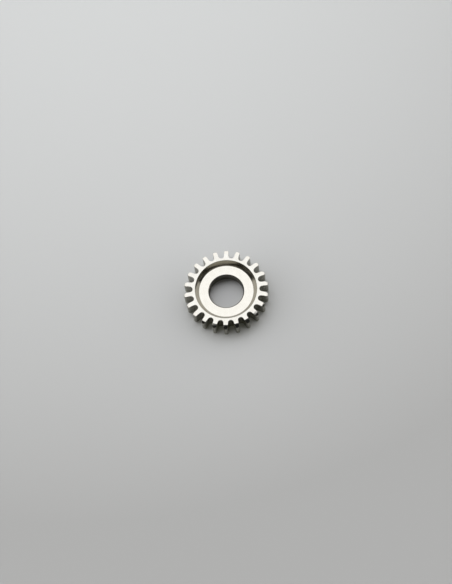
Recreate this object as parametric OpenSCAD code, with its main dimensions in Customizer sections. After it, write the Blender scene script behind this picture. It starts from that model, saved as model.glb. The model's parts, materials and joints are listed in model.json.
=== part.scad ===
// Crown wheel of a hand-wound watch. It is one piece of hardened steel: a turned
// blank with a ring of teeth, a tapered recess in its top face and a plain bore.
// In the movement it turns on a seat in the bore. The winding pinion drives it,
// and it drives the ratchet wheel.
// It lies flat with its recess upwards. The origin is the centre of its
// underside, +Z points up along the bore, and a tooth points along +X.

/* [Teeth] */
// Number of teeth
tooth_count = 22; // [20:1:26]
// Tooth module: pitch diameter divided by the number of teeth
tooth_module = 0.2; // [0.18:0.01:0.24]
// Height of a tooth above the pitch circle
addendum = 0.20; // [0.16:0.01:0.22]
// Depth of a gap below the pitch circle
dedendum = 0.31; // [0.26:0.01:0.34]
// Thickness of a tooth at the pitch circle
tooth_w = 0.25; // [0.22:0.01:0.28]
// Lean of each flank towards the middle of its tooth, up to the bevel, in degrees
flank_lean = 2.4; // [1:0.2:4]
// Height above the pitch circle at which a tooth begins to round off
crown_h = 0.05; // [0.02:0.01:0.08]
// Radius of the rounded flanks near the tip
crown_r = 0.20; // [0.18:0.01:0.3]

/* [Blank] */
// Thickness of the wheel
wheel_t = 0.96; // [0.8:0.01:1.1]
// Width of the bevel on the top of the tooth tips, along the radius
tip_bevel_w = 0.245; // [0.2:0.005:0.3]
// Slope of that bevel where it starts, in degrees
bevel_slope = 14; // [8:1:20]
// Slope at its outer end, in degrees
bevel_end_slope = 36; // [28:1:44]
// Radius of the round between the bevel and the end of a tooth
tip_round = 0.04; // [0.02:0.01:0.1]
// Broken edge under the tooth tips
foot_break = 0.03; // [0.01:0.01:0.06]

/* [Recess] */
// Flat rim between the recess and the bottoms of the gaps
rim_w = 0.13; // [0.08:0.01:0.2]
// Depth of the recess
recess_depth = 0.34; // [0.2:0.01:0.4]
// Width of the tapered wall of the recess, along the radius
recess_wall_w = 0.21; // [0.1:0.01:0.26]

/* [Bore] */
// Diameter of the bore
bore_d = 1.94; // [1.6:0.02:2.2]
// Bevel on the top edge of the bore
bore_bevel_top = 0.05; // [0.02:0.01:0.07]
// Bevel on the bottom edge of the bore
bore_bevel_bottom = 0.03; // [0.01:0.01:0.05]

/* [Hidden] */
$fn = 128;
// Steps in which the rounded stretches of the tooth outline are drawn
gap_steps = 12;
crown_steps = 6;
// Steps in which the bevel and the round at its end are drawn
bevel_steps = 5;
// How far a cutting shape runs past the surface it cuts
past = 0.1;

pitch_angle = 360 / tooth_count;
pitch_r = tooth_module * tooth_count / 2;
tip_r = pitch_r + addendum;
root_r = pitch_r - dedendum;
recess_r = root_r - rim_w;
floor_r = recess_r - recess_wall_w;
floor_z = wheel_t - recess_depth;
bore_r = bore_d / 2;
bevel_start_r = tip_r - tip_bevel_w;

// A gap ends in one round bottom that runs smoothly into both of its flanks.
// Its radius follows from the flanks' distance from the wheel's centre.
flank_angle = pitch_angle / 2 + flank_lean;
flank_distance = bevel_start_r * sin(flank_lean) + tooth_w / 2 * cos(flank_lean);
gap_r = (root_r * sin(flank_angle) - flank_distance) / (1 - sin(flank_angle));
gap_centre_r = root_r + gap_r;

// From the start of the bevel both flanks run parallel to the middle of the tooth,
// and then round off around this centre.
crown_x = pitch_r + crown_h;
crown_y = tooth_w / 2 - crown_r;
// Angle at which it reaches the circle of the tooth tips, seen from its own centre
crown_centre_r = norm([crown_x, crown_y]);
tip_turn = acos((tip_r ^ 2 - crown_centre_r ^ 2 - crown_r ^ 2) / (2 * crown_centre_r * crown_r));
crown_end = tip_turn + atan2(crown_y, crown_x);
crown_start = 90;

// The bevel grows steeper along an arc, until the round of the tip takes over.
bevel_end_r = tip_r - tip_round * (1 - sin(bevel_end_slope));
bevel_arc_r = (bevel_end_r - bevel_start_r) / (sin(bevel_end_slope) - sin(bevel_slope));
bevel_end_z = wheel_t - bevel_arc_r * (cos(bevel_slope) - cos(bevel_end_slope));

function turned(p, angle) =
    [p[0] * cos(angle) - p[1] * sin(angle), p[0] * sin(angle) + p[1] * cos(angle)];

// Left side of one tooth, from the tip down to where the bevel starts
function crown_side() = [
    for (i = [0 : crown_steps])
        let (a = crown_end + (crown_start - crown_end) * i / crown_steps)
        [crown_x + crown_r * cos(a), crown_y + crown_r * sin(a)],
    [bevel_start_r, tooth_w / 2]
];

// Round bottom of the gap that follows the tooth, from one flank to the other
function gap_bottom() = [
    for (i = [0 : gap_steps])
        let (a = 270 - flank_angle - (180 - 2 * flank_angle) * i / gap_steps)
        turned([gap_centre_r + gap_r * cos(a), gap_r * sin(a)], pitch_angle / 2)
];

// Right side of the next tooth, from where the bevel starts up to its tip
function next_side() = [
    for (i = [crown_steps + 1 : -1 : 0])
        turned([crown_side()[i][0], -crown_side()[i][1]], pitch_angle)
];

// Section of the round at the end of the bevel, from the tip circle inwards
function round_section() = [
    for (i = [0 : bevel_steps - 1])
        let (slope = 90 - (90 - bevel_end_slope) * i / bevel_steps)
        [
            bevel_end_r + tip_round * (sin(slope) - sin(bevel_end_slope)),
            bevel_end_z - tip_round * (cos(bevel_end_slope) - cos(slope))
        ]
];

// Section of the bevel, from its outer end to where it starts
function bevel_section() = [
    for (i = [0 : bevel_steps])
        let (slope = bevel_end_slope - (bevel_end_slope - bevel_slope) * i / bevel_steps)
        [
            bevel_start_r + bevel_arc_r * (sin(slope) - sin(bevel_slope)),
            wheel_t - bevel_arc_r * (cos(bevel_slope) - cos(slope))
        ]
];

module tooth_outline() {
    polygon([
        for (t = [0 : tooth_count - 1])
            for (p = concat(crown_side(), gap_bottom(), next_side()))
                turned(p, t * pitch_angle)
    ]);
}

// The blank as it leaves the lathe: recess, bore and bevels, before the teeth are cut
module blank_section() {
    polygon(concat(
        [
            [bore_r + bore_bevel_bottom, 0],
            [tip_r - foot_break, 0],
            [tip_r, foot_break]
        ],
        round_section(),
        bevel_section(),
        [
            [recess_r, wheel_t],
            [floor_r, floor_z],
            [bore_r + bore_bevel_top, floor_z],
            [bore_r, floor_z - bore_bevel_top],
            [bore_r, bore_bevel_bottom]
        ]
    ));
}

module crown_wheel() {
    color("gainsboro")
        intersection() {
            rotate_extrude() blank_section();
            translate([0, 0, -past]) linear_extrude(wheel_t + 2 * past) tooth_outline();
        }
}

crown_wheel();
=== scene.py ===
# %% [markdown]
# A watch crown wheel, small enough to lie on a fingernail. The real one is turned from a steel blank, its
# teeth are cut by a hob, and after hardening its faces are lapped flat. This lesson builds the wheel as one
# mesh with Geometry Nodes, gives each machined surface its own finish, and photographs it on a pale table.

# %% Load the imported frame
import json
import math

import bmesh
import bpy
from mathutils import Matrix, Vector


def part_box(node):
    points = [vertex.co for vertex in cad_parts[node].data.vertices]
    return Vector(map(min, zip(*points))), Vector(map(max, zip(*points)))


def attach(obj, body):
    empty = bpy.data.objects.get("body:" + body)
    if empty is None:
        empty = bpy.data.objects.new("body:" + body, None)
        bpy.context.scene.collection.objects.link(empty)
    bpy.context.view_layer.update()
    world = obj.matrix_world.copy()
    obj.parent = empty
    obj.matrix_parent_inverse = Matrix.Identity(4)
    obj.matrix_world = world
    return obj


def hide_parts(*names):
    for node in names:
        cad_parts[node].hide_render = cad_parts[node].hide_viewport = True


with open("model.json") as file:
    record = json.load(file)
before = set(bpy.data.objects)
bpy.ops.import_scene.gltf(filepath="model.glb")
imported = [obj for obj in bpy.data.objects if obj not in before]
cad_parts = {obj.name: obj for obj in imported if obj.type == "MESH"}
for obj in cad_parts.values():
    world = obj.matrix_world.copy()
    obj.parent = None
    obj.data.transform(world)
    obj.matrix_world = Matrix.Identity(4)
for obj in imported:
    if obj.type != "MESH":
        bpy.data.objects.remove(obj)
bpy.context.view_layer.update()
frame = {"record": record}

# %% [markdown]
# Sizes come first. What another part of the watch has to fit is read from the frame: the wheel's box and
# its mounts. What only shapes the wheel itself is worked out from a few lengths, as on a drawing. Slopes
# are in degrees and lengths in millimetres, because a wheel this small is easier to read as 4.8 than as
# 0.0048. The tree scales its result down to metres at the very end.

# %% Sizes in millimetres and degrees
METRE = 1000.0
TEETH = 22
MODULE = 0.2  # pitch diameter divided by the number of teeth
DEDENDUM = 0.31  # depth of a gap below the pitch circle
CROWN_RISE = 0.05  # height above the pitch circle at which a tooth begins to round off
BEVEL_DIP = 0.045  # depth below the pitch circle at which the bevel on the tips starts
RIM_WIDTH = 0.13
RECESS_WALL_WIDTH = 0.21

low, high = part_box("crown_wheel")
mounts = {mount["name"]: mount for mount in frame["record"]["mounts"]}
pitch_radius = MODULE * TEETH / 2
root_radius = pitch_radius - DEDENDUM
recess_radius = root_radius - RIM_WIDTH

WHEEL = {
    "Teeth": TEETH,
    "Tip Radius": high[0] * METRE,
    "Thickness": (high[2] - low[2]) * METRE,
    "Bore Radius": mounts["bore"]["dims"]["r_mm"],
    "Floor Height": mounts["recess_floor"]["pos_m"][2] * METRE,
    "Root Radius": root_radius,
    "Tooth Width": 0.25,
    "Flank Lean": 2.4,
    "Crown Start": pitch_radius + CROWN_RISE,
    "Crown Radius": 0.20,
    "Bevel Start": pitch_radius - BEVEL_DIP,
    "Bevel Slope": 14.0,
    "Bevel End Slope": 36.0,
    "Tip Round": 0.04,
    "Foot Break": 0.03,
    "Recess Radius": recess_radius,
    "Floor Radius": recess_radius - RECESS_WALL_WIDTH,
    "Bore Bevel Top": 0.05,
    "Bore Bevel Bottom": 0.03,
    "Edge Radius": 0.012,
    "Tool Radius": 0.03,
}
print("sizes in mm and degrees:", {name: round(size, 3) for name, size in WHEEL.items()})

# %% [markdown]
# A shape that follows a rule is a formula, and a node tree holds a formula as a chain of Math nodes.
# Written out one by one they hide the formula, so a small class stands in for a number in the tree: every
# sum written with it adds the Math node that does the sum.

# %% A number in a node tree
class Number:
    """A number in a node tree. Each sum written with it becomes a Math node."""

    def __init__(self, tree, socket):
        self.tree = tree
        self.socket = socket

    def calc(self, operation, *others):
        node = self.tree.nodes.new("ShaderNodeMath")
        node.operation = operation
        for socket, value in zip(node.inputs, (self, *others)):
            feed(self.tree, socket, value)
        return Number(self.tree, node.outputs[0])

    def __add__(self, other):
        return self.calc("ADD", other)

    def __sub__(self, other):
        return self.calc("SUBTRACT", other)

    def __mul__(self, other):
        return self.calc("MULTIPLY", other)

    def __truediv__(self, other):
        return self.calc("DIVIDE", other)

    def __rsub__(self, other):
        return self * -1 + other

    def __rtruediv__(self, other):
        return self.calc("POWER", -1) * other

    __radd__ = __add__
    __rmul__ = __mul__


def feed(tree, socket, value):
    """Links a socket to a number or another socket, or fills it with a plain value."""
    if isinstance(value, Number):
        tree.links.new(value.socket, socket)
    elif isinstance(value, bpy.types.NodeSocket):
        tree.links.new(value, socket)
    else:
        socket.default_value = value


def is_zero(number):
    """1 where a whole number is 0, and 0 where it is more."""
    return number.calc("LESS_THAN", 0.5)


print("sums written with a Number become Math nodes")

# %% [markdown]
# All other nodes go through one helper, which sets a node's options and feeds its inputs. The short ones
# after it stand for the nodes that come up most: a vector from its parts, a point at a radius and an angle,
# the parts of a vector, and the position and the index of each point.

# %% Helpers for single nodes
def add_node(tree, kind, inputs=None, **settings):
    """Adds a node, sets its options, and feeds its inputs by name or by number."""
    node = tree.nodes.new(kind)
    for name, value in settings.items():
        setattr(node, name, value)
    for key, value in (inputs or {}).items():
        feed(tree, node.inputs[key], value)
    return node


def vector(tree, x, y, z=0.0):
    return add_node(tree, "ShaderNodeCombineXYZ", {"X": x, "Y": y, "Z": z}).outputs[0]


def polar(tree, radius, angle, z=0.0):
    return vector(tree, radius * angle.calc("COSINE"), radius * angle.calc("SINE"), z)


def parts_of(tree, socket):
    split = add_node(tree, "ShaderNodeSeparateXYZ", {0: socket})
    return [Number(tree, part) for part in split.outputs]


def position_of(tree):
    return add_node(tree, "GeometryNodeInputPosition").outputs[0]


def index_of(tree):
    return Number(tree, add_node(tree, "GeometryNodeInputIndex").outputs[0])


print("helpers for single nodes ready")

# %% [markdown]
# Two more helpers deal with many points at once. The first picks a value by a whole number, so that a short
# list of corners can be handed out to the points. The second captures values on the points that they belong
# to, so that they survive what later nodes do to the geometry.

# %% Helpers for many points
def choose(tree, index, kind, options):
    """Picks one of a few values by a whole number."""
    node = add_node(tree, "GeometryNodeIndexSwitch", {"Index": index}, data_type=kind)
    while len(node.index_switch_items) < len(options):
        node.index_switch_items.new()
    for place, option in enumerate(options):
        feed(tree, node.inputs[place + 1], option)
    return node.outputs[0]


def remember(tree, geometry, **fields):
    """Captures values on the points of a geometry, so that they travel along as it changes."""
    node = add_node(tree, "GeometryNodeCaptureAttribute", {"Geometry": geometry}, domain="POINT")
    kept = []
    for place, (name, field) in enumerate(fields.items()):
        socket = field.socket if isinstance(field, Number) else field
        kind = "VECTOR" if socket.type == "VECTOR" else "FLOAT"
        node.capture_items.new(kind, name)
        feed(tree, node.inputs[place + 1], socket)
        out = node.outputs[place + 1]
        kept.append(out if kind == "VECTOR" else Number(tree, out))
    return [node.outputs["Geometry"], *kept]


print("helpers for many points ready")

# %% [markdown]
# The tooth. A watch wheel's tooth has straight flanks that lean in a little, then two arcs that close in to
# a narrow tip. Between two teeth the hob leaves a full round that runs smoothly into both flanks, so its
# radius isn't free: it follows from how far the flanks pass from the wheel's centre. The arcs have a free
# radius, and where they end follows from the circle of the tips.

# %% Numbers of one tooth
SHOULDER_SHARE = 0.92  # of an arc's full radius, which leaves room for the small round at the tip


def tooth_numbers(size):
    """Works out the corners and arcs of one tooth, which points along +X."""
    half_pitch = math.pi / size["Teeth"]
    lean = size["Flank Lean"].calc("RADIANS")
    half_width = size["Tooth Width"] / 2
    slant = (half_pitch + lean).calc("SINE")
    flank_distance = size["Bevel Start"] * lean.calc("SINE") + half_width * lean.calc("COSINE")
    gap_radius = (size["Root Radius"] * slant - flank_distance) / (1 - slant)
    tip_radius = size["Tip Radius"]
    crown_radius = size["Crown Radius"]
    crown_x = size["Crown Start"]
    crown_y = half_width - crown_radius
    crown_far = (crown_x * crown_x + crown_y * crown_y).calc("SQRT")
    reach = tip_radius * tip_radius - crown_far * crown_far - crown_radius * crown_radius
    tip_turn = (reach / (crown_far * crown_radius * 2)).calc("ARCCOSINE")
    crown_end = tip_turn + crown_y.calc("ARCTAN2", crown_x)
    half_bend = (math.pi / 2 - crown_end) / 2
    run = crown_radius * half_bend.calc("TANGENT")
    return {
        "half_pitch": half_pitch,
        "half_width": half_width,
        "gap_radius": gap_radius,
        "gap_corner": flank_distance / slant,
        "arc_start": crown_x + run * (1 - SHOULDER_SHARE),
        "shoulder_x": crown_x + run,
        "tip_x": crown_x + crown_radius * crown_end.calc("COSINE"),
        "tip_y": crown_y + crown_radius * crown_end.calc("SINE"),
    }


print("tooth: the shoulders take", SHOULDER_SHARE, "of their full arc")

# %% [markdown]
# An arc that joins two straight lines smoothly is a fillet, so the outline needs only seven corners a
# tooth, each with the radius that rounds it: the deep corner where the flanks of a gap would meet, the
# slight bend of each flank where the bevel starts, the shoulder on each side of the tooth, and the two ends
# of its tip.

# %% Corners of one tooth
BEND_RADIUS = 0.2  # rounds the slight bend of a flank


def tooth_corners(tree, size, tooth):
    """Lists the corners of one tooth, from the gap before it to the bend on its far side."""
    half_pitch = tooth["half_pitch"]
    side = tooth["half_width"]
    shoulder = size["Crown Radius"] * SHOULDER_SHARE
    tip = size["Edge Radius"]
    return [
        (polar(tree, tooth["gap_corner"], half_pitch * -1), tooth["gap_radius"]),
        (vector(tree, size["Bevel Start"], side * -1), BEND_RADIUS),
        (vector(tree, tooth["shoulder_x"], side * -1), shoulder),
        (vector(tree, tooth["tip_x"], tooth["tip_y"] * -1), tip),
        (vector(tree, tooth["tip_x"], tooth["tip_y"]), tip),
        (vector(tree, tooth["shoulder_x"], side), shoulder),
        (vector(tree, size["Bevel Start"], side), BEND_RADIUS),
    ]


print("corners: bends of the flanks rounded by", BEND_RADIUS, "mm")

# %% [markdown]
# A line of points, seven for each tooth, is handed these corners in turn, and those of each tooth are
# rotated into place. Joined up into a closed curve, they are rounded all at once by Fillet Curve. Drawing
# one tooth and copying it would leave seams between the copies.

# %% Outline of all the teeth
ARC_STEPS = 12


def outline_curve(tree, size, tooth):
    """Draws the closed outline of all the teeth. Its points remember their tooth and their corner."""
    corners = tooth_corners(tree, size, tooth)
    count = size["Teeth"] * len(corners)
    points = add_node(tree, "GeometryNodeMeshLine", {"Count": count, "Offset": (0, 0, 0)}).outputs[0]
    index = index_of(tree)
    points, tooth_number, corner = remember(
        tree, points, tooth=(index / len(corners)).calc("FLOOR"), corner=index.calc("MODULO", len(corners))
    )
    spot = choose(tree, corner, "VECTOR", [spot for spot, _ in corners])
    bend = choose(tree, corner, "FLOAT", [bend for _, bend in corners])
    turn = vector(tree, 0.0, 0.0, tooth_number * tooth["half_pitch"] * 2)
    placed = add_node(tree, "FunctionNodeRotateVector", {"Vector": spot, "Rotation": turn}).outputs[0]
    points = add_node(tree, "GeometryNodeSetPosition", {"Geometry": points, "Position": placed}).outputs[0]
    curve = add_node(tree, "GeometryNodeMeshToCurve", {"Mesh": points}).outputs[0]
    curve = add_node(tree, "GeometryNodeSetSplineCyclic", {"Geometry": curve, "Cyclic": True}).outputs[0]
    rounded = {"Curve": curve, "Count": ARC_STEPS, "Radius": bend, "Limit Radius": False}
    curve = add_node(tree, "GeometryNodeFilletCurve", rounded, mode="POLY").outputs[0]
    return curve, tooth_number, corner


print("outline:", TEETH, "teeth,", ARC_STEPS, "steps in each arc")

# %% [markdown]
# Seen from the side, the top of the wheel is flat as far as the bevel. The bevel grows steeper towards the
# tips, as a polished edge does, and ends in a small round. On a circle the drop between two slopes is the
# difference of their cosines times its radius, so both stretches are one short formula each.

# %% Heights of the top face and the underside
def top_of(size, radius):
    """Height of the top face: flat, then a bevel that grows steeper, then the round of the tip."""
    slope = size["Bevel Slope"].calc("RADIANS")
    end_slope = size["Bevel End Slope"].calc("RADIANS")
    start_sine = slope.calc("SINE")
    end_sine = end_slope.calc("SINE")
    round_start = size["Tip Radius"] - size["Tip Round"] * (1 - end_sine)
    bevel_radius = (round_start - size["Bevel Start"]) / (end_sine - start_sine)
    on_bevel = (radius.calc("MINIMUM", round_start) - size["Bevel Start"]).calc("MAXIMUM", 0)
    on_round = (radius - round_start).calc("MAXIMUM", 0)
    bevel_turn = (start_sine + on_bevel / bevel_radius).calc("ARCSINE")
    round_turn = (end_sine + on_round / size["Tip Round"]).calc("MINIMUM", 1).calc("ARCSINE")
    bevel_drop = (slope.calc("COSINE") - bevel_turn.calc("COSINE")) * bevel_radius
    round_drop = (end_slope.calc("COSINE") - round_turn.calc("COSINE")) * size["Tip Round"]
    return size["Thickness"] - bevel_drop - round_drop


def foot_of(size, radius):
    """Height of the underside: flat, then rising a little at the tooth tips."""
    return (radius - size["Tip Radius"] + size["Foot Break"]).calc("MAXIMUM", 0)


print("bevel from", WHEEL["Bevel Slope"], "to", WHEEL["Bevel End Slope"], "degrees")

# %% [markdown]
# The toothed skin is the outline swept down the wheel's edge: across the top face, round a small broken
# edge, down the flank, round the lower edge and back under the wheel. Curve to Mesh makes the sheet of
# quads, and each of its points remembers where it lies on the outline and which row it is in.

# %% Sheet of the toothed skin
EDGE_STEPS = 4
ROWS = 2 * (EDGE_STEPS + 2)
ROW_SPACING = 0.1  # any length will do, because a formula puts each point in its place later


def swept_sheet(tree, size, tooth):
    """Sweeps the outline through all the rows, and returns the sheet and what its points remember."""
    curve, tooth_number, corner = outline_curve(tree, size, tooth)
    tangent = parts_of(tree, add_node(tree, "GeometryNodeInputTangent").outputs[0])
    outward = vector(tree, tangent[1], tangent[0] * -1)
    step = index_of(tree).calc("MODULO", ARC_STEPS + 1) / ARC_STEPS
    curve, spot, outward, step = remember(tree, curve, spot=position_of(tree), outward=outward, step=step)
    down = {"Count": ROWS, "Offset": (0, 0, -ROW_SPACING)}
    rail = add_node(tree, "GeometryNodeMeshLine", down).outputs[0]
    rail = add_node(tree, "GeometryNodeMeshToCurve", {"Mesh": rail}).outputs[0]
    rail, row = remember(tree, rail, row=index_of(tree))
    sheet = add_node(tree, "GeometryNodeCurveToMesh", {"Curve": curve, "Profile Curve": rail}).outputs[0]
    at = {"tooth": tooth_number, "corner": corner, "spot": spot, "outward": outward, "step": step, "row": row}
    return sheet, at


print("toothed skin:", ROWS, "rows from the top face round to the underside")

# %% [markdown]
# On the faces each row has to end somewhere. The points of a gap end on a circle in the rim, and the points
# of a tooth end on its middle line, where both sides of the tooth meet. The other rows step round the
# broken edges: each is set in from the outline and down from the face by its place on a quarter circle.

# %% Toothed skin
TIP_SHORTFALL = 0.15  # share of the rounded end that the middle line leaves out, to give the last faces width


def toothed_skin(tree, size, tooth, weld_radius):
    sheet, at = swept_sheet(tree, size, tooth)
    place = at["row"].calc("MINIMUM", ROWS - 1 - at["row"])
    turn = (place - 1).calc("MAXIMUM", 0) * (math.pi / 2 / EDGE_STEPS)
    inset = size["Edge Radius"] * (1 - turn.calc("SINE"))
    rise = size["Edge Radius"] * (1 - turn.calc("COSINE"))
    x, y, _ = parts_of(tree, at["spot"])
    out_x, out_y, _ = parts_of(tree, at["outward"])
    x = x - out_x * inset
    y = y - out_y * inset

    axis_angle = at["tooth"] * tooth["half_pitch"] * 2
    along = x * axis_angle.calc("COSINE") + y * axis_angle.calc("SINE")
    middle = along - (along - tooth["arc_start"]).calc("MAXIMUM", 0) * TIP_SHORTFALL
    in_gap = is_zero(at["corner"])
    end_angle = axis_angle - in_gap * (1 - at["step"]) * tooth["half_pitch"] * 2
    end_radius = in_gap * weld_radius + (1 - in_gap) * middle
    at_end = is_zero(place)
    x = x + (end_radius * end_angle.calc("COSINE") - x) * at_end
    y = y + (end_radius * end_angle.calc("SINE") - y) * at_end

    radius = (x * x + y * y).calc("SQRT")
    high_side = top_of(size, radius) - rise
    low_side = foot_of(size, radius) + rise
    on_top = at["row"].calc("LESS_THAN", ROWS / 2)
    z = low_side + (high_side - low_side) * on_top
    put = {"Geometry": sheet, "Position": vector(tree, x, y, z)}
    return add_node(tree, "GeometryNodeSetPosition", put).outputs[0]


print("toothed skin: middle lines stop", TIP_SHORTFALL, "of the rounded end before the tip")

# %% [markdown]
# Everything inside the teeth was turned on a lathe, so it is one section spun round the axis: along the
# rim, down the tapered wall, across the floor, down the bore and back out underneath. Its corners get the
# same small broken edge, except the inner corner of the floor, which has the larger radius of the turning
# tool's nose.

# %% Section of the turned skin
def turned_section(tree, size, weld_radius):
    rim = size["Thickness"]
    floor = size["Floor Height"]
    bore = size["Bore Radius"]
    edge = size["Edge Radius"]
    corners = [
        (weld_radius, rim, 0.0),
        (size["Recess Radius"], rim, edge),
        (size["Floor Radius"], floor, size["Tool Radius"]),
        (bore + size["Bore Bevel Top"], floor, edge),
        (bore, floor - size["Bore Bevel Top"], edge),
        (bore, size["Bore Bevel Bottom"], edge),
        (bore + size["Bore Bevel Bottom"], 0.0, edge),
        (weld_radius, 0.0, 0.0),
    ]
    spots = [vector(tree, radius, 0.0, height) for radius, height, _ in corners]
    line = add_node(tree, "GeometryNodeMeshLine", {"Count": len(corners), "Offset": (0, 0, 0)}).outputs[0]
    line, corner = remember(tree, line, corner=index_of(tree))
    spot = choose(tree, corner, "VECTOR", spots)
    bend = choose(tree, corner, "FLOAT", [bend for _, _, bend in corners])
    line = add_node(tree, "GeometryNodeSetPosition", {"Geometry": line, "Position": spot}).outputs[0]
    line = add_node(tree, "GeometryNodeMeshToCurve", {"Mesh": line}).outputs[0]
    rounded = {"Curve": line, "Count": EDGE_STEPS, "Radius": bend}
    return add_node(tree, "GeometryNodeFilletCurve", rounded, mode="POLY").outputs[0]


print("section: edges broken by", WHEEL["Edge Radius"], "mm, the floor's corner by", WHEEL["Tool Radius"])

# %% [markdown]
# Curve to Mesh spins the section. A circle is its rail, and a formula then puts each point at its radius,
# its height and its angle. The circle has as many steps as the toothed skin has along its inner end, so
# that the two skins meet point by point.

# %% Turned skin
def turned_skin(tree, size, weld_radius):
    line = turned_section(tree, size, weld_radius)
    line, section = remember(tree, line, section=position_of(tree))
    steps = size["Teeth"] * ARC_STEPS
    circle = add_node(tree, "GeometryNodeCurvePrimitiveCircle", {"Resolution": steps}).outputs[0]
    circle, angle = remember(tree, circle, angle=index_of(tree) / steps * (2 * math.pi))
    sheet = add_node(tree, "GeometryNodeCurveToMesh", {"Curve": circle, "Profile Curve": line}).outputs[0]
    radius, _, z = parts_of(tree, section)
    put = {"Geometry": sheet, "Position": polar(tree, radius, angle, z)}
    return add_node(tree, "GeometryNodeSetPosition", put).outputs[0]


print("turned skin:", TEETH * ARC_STEPS, "steps round, to meet the toothed skin point by point")

# %% [markdown]
# The zones that the workshop finishes in different ways get their own materials: the lapped rim and
# underside, the turned floor and bevel, the bored recess wall and bore, and the hobbed flanks with the
# rounded ends of the teeth. A face knows its zone by the way it points and by its distance from the axis.
# Such rules still hold when a size changes, which a list of chosen faces wouldn't.

# %% Zones of the wheel
FLAT_FACE = 0.99  # a face is flat where its normal rises or falls by more than this
WALL_FACE = 0.97  # inside the teeth, it belongs to a wall where the normal does so by less than this
FLANK_FACE = 0.78  # and on the teeth, it was cut by the hob where it does so by less than this


def give_finishes(tree, wheel, size, weld_radius, finishes):
    """Gives each face the finish of its zone. The wheel is in metres by now, and the rules in millimetres."""
    lapped, turned, bored, cut_and_painted_shade = finishes
    x, y, z = [part * METRE for part in parts_of(tree, position_of(tree))]
    toothed = (x * x + y * y).calc("SQRT").calc("GREATER_THAN", weld_radius)
    normal = parts_of(tree, add_node(tree, "GeometryNodeInputNormal").outputs[0])
    facing = normal[2].calc("ABSOLUTE")
    above = z.calc("GREATER_THAN", (size["Floor Height"] + size["Thickness"]) / 2)
    below = z.calc("LESS_THAN", size["Floor Height"] / 2)
    flat = facing.calc("GREATER_THAN", FLAT_FACE) * (above + below)
    wall = facing.calc("LESS_THAN", WALL_FACE) * (1 - toothed)
    flank = facing.calc("LESS_THAN", FLANK_FACE) * toothed
    wheel = add_node(tree, "GeometryNodeSetMaterial", {"Geometry": wheel, "Material": turned}).outputs[0]
    for material, chosen in ((bored, wall), (cut_and_painted_shade, flank), (lapped, flat)):
        paint = {"Geometry": wheel, "Material": material, "Selection": chosen}
        wheel = add_node(tree, "GeometryNodeSetMaterial", paint).outputs[0]
    return wheel


print("zones: flat faces above", FLAT_FACE, "walls below", WALL_FACE, "flanks below", FLANK_FACE)

# %% [markdown]
# The whole wheel is the two skins, welded along the circle where they meet, scaled from millimetres to
# metres and given its finishes. Each of its sizes is an input of the tree.

# %% Wheel tree
WELD_DISTANCE = 0.00005  # in millimetres


def wheel_tree(finishes):
    tree = bpy.data.node_groups.new("toothed_wheel", "GeometryNodeTree")
    tree.interface.new_socket("Geometry", in_out="OUTPUT", socket_type="NodeSocketGeometry")
    for name, value in WHEEL.items():
        kind = "NodeSocketInt" if isinstance(value, int) else "NodeSocketFloat"
        tree.interface.new_socket(name, in_out="INPUT", socket_type=kind)
    sockets = add_node(tree, "NodeGroupInput").outputs
    size = {name: Number(tree, sockets[name]) for name in WHEEL}
    tooth = tooth_numbers(size)
    weld_radius = (size["Recess Radius"] + size["Root Radius"]) / 2
    join = add_node(tree, "GeometryNodeJoinGeometry")
    tree.links.new(toothed_skin(tree, size, tooth, weld_radius), join.inputs[0])
    inside = add_node(tree, "GeometryNodeFlipFaces", {"Mesh": turned_skin(tree, size, weld_radius)})
    tree.links.new(inside.outputs[0], join.inputs[0])
    weld = {"Geometry": join.outputs[0], "Distance": WELD_DISTANCE}
    wheel = add_node(tree, "GeometryNodeMergeByDistance", weld).outputs[0]
    wheel = add_node(tree, "GeometryNodeTransform", {"Geometry": wheel, "Scale": (1 / METRE,) * 3}).outputs[0]
    wheel = add_node(tree, "GeometryNodeRealizeInstances", {"Geometry": wheel}).outputs[0]
    wheel = give_finishes(tree, wheel, size, weld_radius, finishes)
    result = add_node(tree, "NodeGroupOutput")
    tree.links.new(wheel, result.inputs[0])
    return tree


print("wheel tree: two skins, four finishes")

# %% [markdown]
# Finishes. All four are the same steel, and differ in what the last tool left on it and in their tints, of
# which the flanks' is partly painted shade. Each has its marks, which are cut in as a relief far finer than a
# hair, and a faint cloud. Both vary how dull the steel is and how dark. Every pattern is laid out in
# millimetres on Object coordinates, so it keeps its real size on the wheel.

# %% Material helpers
COMMON_NOISE = (0.3, 0.7)  # most values of a noise lie between these


def new_material(name):
    material = bpy.data.materials.new(name)
    material.use_nodes = True
    tree = material.node_tree
    shader = tree.nodes["Principled BSDF"]
    return material, tree, shader


def millimetres(tree, stretch=(1.0, 1.0, 1.0)):
    """Object coordinates in millimetres. A larger number draws the pattern finer that way."""
    where = add_node(tree, "ShaderNodeTexCoord").outputs["Object"]
    scale = tuple(METRE * share for share in stretch)
    return add_node(tree, "ShaderNodeMapping", {"Vector": where, "Scale": scale}).outputs[0]


def noise(tree, where, scale=1.0, detail=3.0):
    inputs = {"Vector": where, "Scale": scale, "Detail": detail}
    return Number(tree, add_node(tree, "ShaderNodeTexNoise", inputs).outputs["Fac"])


def rings(tree, along, scale, detail):
    """Noise that changes along one number only. Where that is a radius or a height, it draws rings."""
    inputs = {"W": along, "Scale": scale, "Detail": detail}
    return Number(tree, add_node(tree, "ShaderNodeTexNoise", inputs, noise_dimensions="1D").outputs["Fac"])


def spread(tree, value, least, most):
    """Turns a noise value into a range of real values."""
    low_end, high_end = COMMON_NOISE
    inputs = {"Value": value, "From Min": low_end, "From Max": high_end, "To Min": least, "To Max": most}
    return Number(tree, add_node(tree, "ShaderNodeMapRange", inputs).outputs[0])


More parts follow.
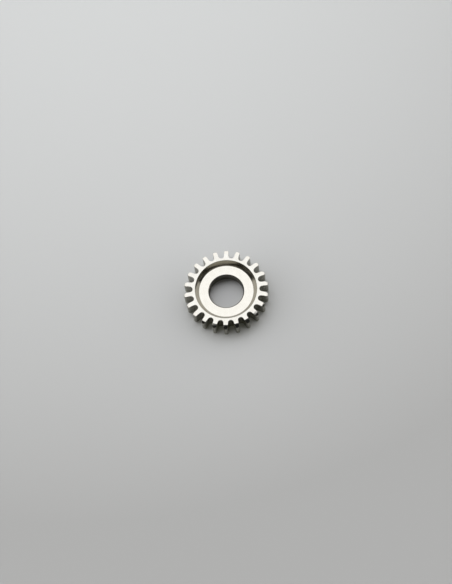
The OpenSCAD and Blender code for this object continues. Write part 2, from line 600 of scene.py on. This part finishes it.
def tint(tree, shader, value, dark, light):
    mix = add_node(tree, "ShaderNodeMix", {"Factor": value}, data_type="RGBA")
    colours = [socket for socket in mix.inputs if socket.type == "RGBA"]
    colours[0].default_value = dark
    colours[1].default_value = light
    mixed = [socket for socket in mix.outputs if socket.type == "RGBA"]
    tree.links.new(mixed[0], shader.inputs["Base Color"])


def bump(tree, shader, height, depth):
    """Gives the surface a relief of a real depth in millimetres."""
    node = add_node(tree, "ShaderNodeBump", {"Height": height, "Strength": 1.0, "Distance": depth / METRE})
    tree.links.new(node.outputs[0], shader.inputs["Normal"])


print("finishes are laid out in millimetres")

# %% [markdown]
# One function gives a steel surface its finish, from its marks, its cloud and a few numbers: the range of
# its roughness, its darkest and lightest tint, the cloud's share in each of the two, and how deep the marks
# go in millimetres.

# %% Steel
def blend(first, second, share):
    return first * share + second * (1 - share)


def finish_steel(tree, shader, marks, cloud, finish):
    shader.inputs["Metallic"].default_value = 1.0
    roughness = spread(tree, blend(cloud, marks, finish["cloud in roughness"]), *finish["roughness"])
    feed(tree, shader.inputs["Roughness"], roughness)
    shade = spread(tree, blend(cloud, marks, finish["cloud in tint"]), 0.0, 1.0)
    tint(tree, shader, shade, *finish["tints"])
    bump(tree, shader, marks, finish["depth"])


print("steel: marks and cloud vary its roughness and its tint")

# %% [markdown]
# The rim and the underside are lapped: rubbed flat on a plate with fine grit. That leaves an almost even
# sheen with faint straight strokes, so the noise is drawn much finer across the strokes than along them.

# %% Lapped steel
LAPPED_STROKES = (6.0, 90.0, 6.0)
LAPPED_CLOUD = 2.2
LAPPED = {
    "roughness": (0.14, 0.20),
    "cloud in roughness": 0.6,
    "tints": ((0.69, 0.68, 0.645, 1.0), (0.75, 0.745, 0.72, 1.0)),
    "cloud in tint": 1.0,
    "depth": 0.0006,
}


def lapped_steel():
    material, tree, shader = new_material("lapped_steel")
    strokes = noise(tree, millimetres(tree, LAPPED_STROKES), detail=2.0)
    cloud = noise(tree, millimetres(tree), scale=LAPPED_CLOUD)
    finish_steel(tree, shader, strokes, cloud, LAPPED)
    return material


lapped = lapped_steel()
print(lapped.name, "roughness", LAPPED["roughness"])

# %% [markdown]
# The floor of the recess and the bevel on the tips are turned with a fine tool, whose rings follow the
# radius. A share of the height is added to it, so that the rings run on over the slope of the bevel and
# don't smear down it.

# %% Turned steel
TURNED_RINGS = 70.0
TURNED_SLANT = 0.6
TURNED_CLOUD = 3.0
TURNED = {
    "roughness": (0.07, 0.13),
    "cloud in roughness": 0.5,
    "tints": ((0.70, 0.685, 0.64, 1.0), (0.78, 0.77, 0.74, 1.0)),
    "cloud in tint": 0.5,
    "depth": 0.0003,
}


def turned_steel():
    material, tree, shader = new_material("turned_steel")
    where = millimetres(tree)
    x, y, z = parts_of(tree, where)
    across = (x * x + y * y).calc("SQRT") + z * TURNED_SLANT
    marks = rings(tree, across, scale=TURNED_RINGS, detail=2.0)
    cloud = noise(tree, where, scale=TURNED_CLOUD)
    finish_steel(tree, shader, marks, cloud, TURNED)
    return material


turned = turned_steel()
print(turned.name, "roughness", TURNED["roughness"])

# %% [markdown]
# The recess wall and the bore are turned too, with a slimmer tool that chatters, and have a darker, browner
# tint than the floor. Here the rings follow the height. Steel brightens where it is seen at a grazing angle,
# and a grey specular tint keeps these steep walls from doing so too much.

# %% Bored steel
BORED_RINGS = 55.0
BORED_SLANT = 0.4
BORED_CLOUD = 3.0
BORED_EDGE_TINT = (0.6, 0.6, 0.6, 1.0)
BORED = {
    "roughness": (0.06, 0.12),
    "cloud in roughness": 0.5,
    "tints": ((0.35, 0.333, 0.285, 1.0), (0.46, 0.44, 0.39, 1.0)),
    "cloud in tint": 0.4,
    "depth": 0.0002,
}


def bored_steel():
    material, tree, shader = new_material("bored_steel")
    shader.inputs["Specular Tint"].default_value = BORED_EDGE_TINT
    where = millimetres(tree)
    x, y, z = parts_of(tree, where)
    down = z + (x * x + y * y).calc("SQRT") * BORED_SLANT
    marks = rings(tree, down, scale=BORED_RINGS, detail=3.0)
    cloud = noise(tree, where, scale=BORED_CLOUD)
    finish_steel(tree, shader, marks, cloud, BORED)
    return material


bored = bored_steel()
print(bored.name, "roughness", BORED["roughness"])

# %% [markdown]
# The flanks keep the hob's lines, which run along the tooth, from its foot to its top. They are the dullest
# faces of the wheel, because nothing polished them afterwards. Their tint, the darkest on the wheel, is
# partly the cut steel's own and partly painted shade, so that the ends of the teeth sink into the shadow
# around them.

# %% Cut steel, with painted shade
CUT_LINES = (60.0, 60.0, 3.0)
CUT_CLOUD = 4.0
CUT_AND_PAINTED_SHADE = {
    "roughness": (0.22, 0.3),
    "cloud in roughness": 0.5,
    # these tints are partly the cut steel's own and partly painted shade, darkening flanks and tooth ends
    "tints": ((0.24, 0.232, 0.193, 1.0), (0.32, 0.312, 0.268, 1.0)),
    "cloud in tint": 0.6,
    "depth": 0.0005,
}


def cut_steel_and_painted_shade():
    material, tree, shader = new_material("cut_steel_and_painted_shade")
    lines = noise(tree, millimetres(tree, CUT_LINES), detail=2.0)
    cloud = noise(tree, millimetres(tree), scale=CUT_CLOUD)
    finish_steel(tree, shader, lines, cloud, CUT_AND_PAINTED_SHADE)
    return material


cut_and_painted_shade = cut_steel_and_painted_shade()
print(cut_and_painted_shade.name, "roughness", CUT_AND_PAINTED_SHADE["roughness"])

# %% [markdown]
# A tree gives its shape to whatever object carries it. An empty mesh is enough for that. The tree's inputs
# are set by their identifiers before the object is first evaluated, and the result is copied out as a plain
# mesh. A modifier that finishes the mesh is applied in the same way.

# %% Helpers that turn a tree or a modifier into a mesh
def run_tree(name, tree, sizes):
    """Runs a node tree on an empty object and returns its result as a plain mesh object."""
    holder = bpy.data.objects.new(name + "_holder", bpy.data.meshes.new(name + "_holder"))
    bpy.context.scene.collection.objects.link(holder)
    modifier = holder.modifiers.new("tree", "NODES")
    modifier.node_group = tree
    for item in tree.interface.items_tree:
        if item.in_out == "INPUT":
            modifier[item.identifier] = sizes[item.name]
    ready = holder.evaluated_get(bpy.context.evaluated_depsgraph_get())
    mesh = bpy.data.meshes.new_from_object(ready)
    bpy.data.objects.remove(holder)
    mesh.name = name
    made = bpy.data.objects.new(name, mesh)
    bpy.context.scene.collection.objects.link(made)
    return made


def drop_empty_slots(mesh):
    for place in reversed(range(len(mesh.materials))):
        if mesh.materials[place] is None:
            mesh.materials.pop(index=place)


def apply_modifier(made, kind, **settings):
    modifier = made.modifiers.new(kind.lower(), kind)
    for name, value in settings.items():
        setattr(modifier, name, value)
    ready = made.evaluated_get(bpy.context.evaluated_depsgraph_get())
    finished = bpy.data.meshes.new_from_object(ready)
    made.modifiers.clear()
    made.data = finished


print("ready to run the tree")

# %% [markdown]
# Now the tree runs, once. Face-weighted normals then keep the wide flats flat, while the narrow broken
# edges between them catch the light as thin lines. Their weights are face areas, which in metres would be
# too small for the modifier to tell apart, so the mesh is enlarged to millimetres while they are worked
# out.

# %% Make the wheel
wheel = run_tree("wheel", wheel_tree((lapped, turned, bored, cut_and_painted_shade)), WHEEL)
drop_empty_slots(wheel.data)
wheel.data.shade_smooth()
wheel.data.transform(Matrix.Scale(METRE, 4))
apply_modifier(wheel, "WEIGHTED_NORMAL", mode="FACE_AREA", weight=50, keep_sharp=False)
wheel.data.transform(Matrix.Scale(1 / METRE, 4))
print("wheel:", len(wheel.data.polygons), "faces,", [material.name for material in wheel.data.materials])

# %% [markdown]
# A mesh made by rules is measured before it is trusted. No edge may be open. The volume has to be positive,
# because a negative one would mean that the faces point inwards. And no two neighbouring faces may fold
# back on each other, which a fillet that is too large for its corner does.

# %% Check the wheel
shape = bmesh.new()
shape.from_mesh(wheel.data)
open_edges = sum(not edge.is_manifold for edge in shape.edges)
volume = shape.calc_volume(signed=True) * METRE**3
sharpest = math.degrees(max(edge.calc_face_angle(0.0) for edge in shape.edges))
shape.free()
print("open edges:", open_edges, "volume in cubic mm:", round(volume, 3))
print("sharpest edge in degrees:", round(sharpest, 1))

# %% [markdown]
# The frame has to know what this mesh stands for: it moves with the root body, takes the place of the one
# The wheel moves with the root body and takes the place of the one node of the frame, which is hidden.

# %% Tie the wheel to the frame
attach(wheel, "root")
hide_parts("crown_wheel")
print("the wheel replaces the node crown_wheel")

# %% [markdown]
# The table is a pale matt sheet that carries the wheel's soft shadow. It is brighter at the far left than
# at the near right, as in any room with one window, and a touch lighter close to the wheel. The light of a
# world comes from endlessly far and can't fade over a few centimetres, so both are painted into the table's
# colour.

# %% Table
TABLE_SIDE = 0.6  # in metres
TABLE_TURN = math.radians(9.8)  # how far its bright side lies to the left
TABLE_SPAN = 30.0  # millimetres over which the table goes from its dark tint to its light one
TABLE_LEVEL = 0.466  # where in that range it is below the wheel
TABLE_FADE = 0.00056  # how fast it darkens with the square of the distance
NEAR_LIFT = 0.1  # how much lighter it is close to the wheel
NEAR_SPAN = 6.0  # and how far out that reaches
TABLE_TINTS = ((0.436, 0.437, 0.432, 1.0), (0.685, 0.698, 0.697, 1.0))
TABLE_ROUGHNESS = 0.9
TABLE_GLOSS = 0.2


def table_material():
    material, tree, shader = new_material("table")
    x, y, _ = parts_of(tree, millimetres(tree))
    distance_squared = x * x + y * y
    near = (distance_squared / NEAR_SPAN**2 * -1).calc("EXPONENT") * NEAR_LIFT
    level = (y * math.cos(TABLE_TURN) - x * math.sin(TABLE_TURN)) / TABLE_SPAN
    level = level + TABLE_LEVEL - distance_squared * TABLE_FADE + near
    tint(tree, shader, level, *TABLE_TINTS)
    shader.inputs["Roughness"].default_value = TABLE_ROUGHNESS
    shader.inputs["Specular IOR Level"].default_value = TABLE_GLOSS
    return material


table_mesh = bpy.data.meshes.new("table")
half = TABLE_SIDE / 2
corners = [(-half, -half, 0), (half, -half, 0), (half, half, 0), (-half, half, 0)]
table_mesh.from_pydata(corners, [], [(0, 1, 2, 3)])
table = bpy.data.objects.new("table", table_mesh)
table.data.materials.append(table_material())
bpy.context.scene.collection.objects.link(table)
print("table:", TABLE_SIDE, "metres square")

# %% [markdown]
# Polished steel has no colour of its own to show. It shows the room. So the metal gets a room to mirror: a
# bright window wall beyond the wheel, and a dark near side, where the camera stands. The flat faces mirror
# the window into the lens and go nearly white, and what leans toward the camera goes dark. The window's
# edge hangs askew and its low ends are dimmer. The tapered wall of the recess shows both. All heights and
# distances here are parts of a ray's direction, which is one unit long.

# %% Room that the metal mirrors
ROOM_COLOUR = (1.0, 0.99, 0.965, 1.0)
WINDOW = 1.3  # strength of the window's light
WINDOW_EDGE = (0.06, 0.22)  # distance at which the window begins, and at which it is fully bright
EDGE_LEAN = 0.17  # how far its edge comes nearer with each unit of height
EDGE_LEAN_LOW = 0.3  # what is added to that up to the height LOW_END
LOW_END = 0.5
EDGE_TURN_LOW = 0.16  # how askew the edge hangs near the table
EDGE_TURN_HIGH = -0.085  # and higher up
EDGE_TURN_HEIGHTS = (0.28, 0.5)  # between these the one runs into the other
LOW_SIDES = 0.7  # share of its light that the window loses towards its low ends
LOW_SIDES_LEAST = 0.3  # share that it keeps at least
NEAR_SIDE = 0.01  # strength of the near side's light
NEAR_LOW = 0.1  # what is added to that just above the table


def smooth_step(tree, value, edge, least, most):
    inputs = {"Value": value, "From Min": edge[0], "From Max": edge[1], "To Min": least, "To Max": most}
    node = add_node(tree, "ShaderNodeMapRange", inputs, interpolation_type="SMOOTHSTEP")
    return Number(tree, node.outputs[0])


def background(tree, colour, strength):
    return add_node(tree, "ShaderNodeBackground", {"Color": colour, "Strength": strength}).outputs[0]


def mirrored_room(tree, x, y, z):
    """What a mirrored ray that leaves the wheel along (x, y, z) finds."""
    low = (1 - z).calc("MINIMUM", 1.0)
    lean = z * EDGE_LEAN + z.calc("MINIMUM", LOW_END) * EDGE_LEAN_LOW
    turn = smooth_step(tree, z, EDGE_TURN_HEIGHTS, EDGE_TURN_LOW, EDGE_TURN_HIGH)
    toward = y + x * turn + lean
    low_side = x * x * low
    window = (1 - low_side * low_side * LOW_SIDES).calc("MAXIMUM", LOW_SIDES_LEAST) * WINDOW
    near = low * low * low * NEAR_LOW + NEAR_SIDE
    return background(tree, ROOM_COLOUR, smooth_step(tree, toward, WINDOW_EDGE, near, window))


print("room: window", WINDOW, "near side", NEAR_SIDE)

# %% [markdown]
# Matt surfaces don't care for the room's sharp edges, and are lit by a softer sky: the window again, light
# that comes in low from both sides, and a warm glow just above the table, which gives the shadows their
# olive tone. Nothing shines from below the table.

# %% Soft light
SKY_COLOUR = (1.0, 1.0, 1.03, 1.0)
SKY = 2.42  # strength of the window in this sky
SKY_EDGE = (0.1, 0.3)
SKY_TURN = math.radians(11)
SIDES = 7.1  # strength of the light from both sides
GLOW_COLOUR = (1.0, 0.97, 0.5, 1.0)
GLOW = 2.5
GLOW_FALL = 8  # the higher, the closer the glow stays to the table


def soft_light(tree, x, y, z):
    low = 1 - z
    above = z.calc("GREATER_THAN", 0.0)
    toward = y * math.cos(SKY_TURN) - x * math.sin(SKY_TURN)
    sky = smooth_step(tree, toward, SKY_EDGE, 0.0, SKY) * z + x * x * low * low * low * SIDES
    glow = low.calc("POWER", GLOW_FALL) * GLOW
    cool = background(tree, SKY_COLOUR, sky * above)
    warm = background(tree, GLOW_COLOUR, glow * above)
    return add_node(tree, "ShaderNodeAddShader", {0: cool, 1: warm}).outputs[0]


print("soft light: window", SKY, "sides", SIDES, "glow", GLOW)

# %% [markdown]
# The kind of ray decides which of them it meets. The camera itself sees a plain pale backdrop. A ray that
# has only been mirrored on its way, and never scattered by a matt surface, sees the room. Every other ray
# sees the soft light.

# %% World
BACKDROP = (0.62, 0.63, 0.63, 1.0)


def mix_shaders(tree, share, first, second):
    return add_node(tree, "ShaderNodeMixShader", {0: share, 1: first, 2: second}).outputs[0]


def make_world():
    world = bpy.data.worlds.new("room")
    world.use_nodes = True
    tree = world.node_tree
    tree.nodes.clear()
    way = parts_of(tree, add_node(tree, "ShaderNodeTexCoord").outputs["Generated"])
    ray = add_node(tree, "ShaderNodeLightPath").outputs
    only_mirrored = is_zero(Number(tree, ray["Diffuse Depth"])) * Number(tree, ray["Is Glossy Ray"])
    light = mix_shaders(tree, only_mirrored, soft_light(tree, *way), mirrored_room(tree, *way))
    seen = mix_shaders(tree, ray["Is Camera Ray"], light, background(tree, BACKDROP, 1.0))
    out = add_node(tree, "ShaderNodeOutputWorld")
    tree.links.new(seen, out.inputs["Surface"])
    return world


bpy.context.scene.world = make_world()
bpy.context.scene.view_settings.view_transform = "Standard"
print("world:", len(bpy.context.scene.world.node_tree.nodes), "nodes")

# %% [markdown]
# One round lamp above the wheel, a little beyond it, gives the shadow a direction. The metal doesn't mirror
# it. Its power grows with the square of its distance, so it can be moved without lighting the table more or
# less.

# %% Lamp
LAMP_DISTANCE = 0.12  # in metres, like its size
LAMP_SIZE = 0.1
LAMP_LIGHT = 0.25  # how strongly it lights the table, whatever its distance
LAMP_WAY = Vector((-0.1, 0.36, 0.93)).normalized()


def make_lamp():
    data = bpy.data.lights.new("lamp", "AREA")
    data.shape = "DISK"
    data.size = LAMP_SIZE
    data.energy = LAMP_LIGHT / LAMP_WAY.z * math.pi * LAMP_DISTANCE**2
    lamp = bpy.data.objects.new("lamp", data)
    lamp.visible_glossy = False
    place = Matrix.Translation(LAMP_WAY * LAMP_DISTANCE)
    lamp.matrix_world = place @ LAMP_WAY.to_track_quat("Z", "Y").to_matrix().to_4x4()
    bpy.context.scene.collection.objects.link(lamp)
    return lamp


lamp = make_lamp()
print("lamp: watts", round(lamp.data.energy, 4))

# %% [markdown]
# The camera looks down at the wheel from nearly above, as the photo does. Fitting circles to the photo gave
# its height, its small roll and its distance. The wheel is 85 pixels wide in a picture 452 pixels wide.

# %% Camera
CAMERA_TURN = math.radians(0.25)
CAMERA_HEIGHT = math.radians(68.6)
CAMERA_ROLL = math.radians(8.6)
FOCAL_PIXELS = 1440.0
PICTURE = (452, 584)
CENTRE_PIXEL = (225.95, 288.97)  # where the centre of the wheel's top lies in the picture
SENSOR = 36.0
CLIP_RANGE = 100  # it sees from a hundredth of its distance to a hundred times it
WHEEL_WIDTH = 4.8
WHEEL_PIXELS = 85.0
pixel = WHEEL_WIDTH / WHEEL_PIXELS / METRE


def make_camera():
    data = bpy.data.cameras.new("camera")
    data.sensor_width = SENSOR
    data.lens = SENSOR * FOCAL_PIXELS / max(PICTURE)
    camera = bpy.data.objects.new("camera", data)
    bpy.context.scene.collection.objects.link(camera)
    right = Vector((1, 0, 0))
    upward = Vector((0, math.sin(CAMERA_HEIGHT), math.cos(CAMERA_HEIGHT)))
    back = right.cross(upward)
    across = right * math.cos(CAMERA_ROLL) - upward * math.sin(CAMERA_ROLL)
    up = right * math.sin(CAMERA_ROLL) + upward * math.cos(CAMERA_ROLL)
    distance = FOCAL_PIXELS * pixel
    aim = Vector((0, 0, high[2]))
    aim -= across * (CENTRE_PIXEL[0] - PICTURE[0] / 2) * pixel
    aim += up * (CENTRE_PIXEL[1] - PICTURE[1] / 2) * pixel
    pose = Matrix((across, up, back)).transposed().to_4x4()
    pose.translation = aim + back * distance
    camera.matrix_world = Matrix.Rotation(CAMERA_TURN, 4, "Z") @ pose
    data.clip_start = distance / CLIP_RANGE
    data.clip_end = distance * CLIP_RANGE
    return camera


bpy.context.scene.camera = make_camera()
print("camera lens in mm:", round(bpy.context.scene.camera.data.lens, 1))
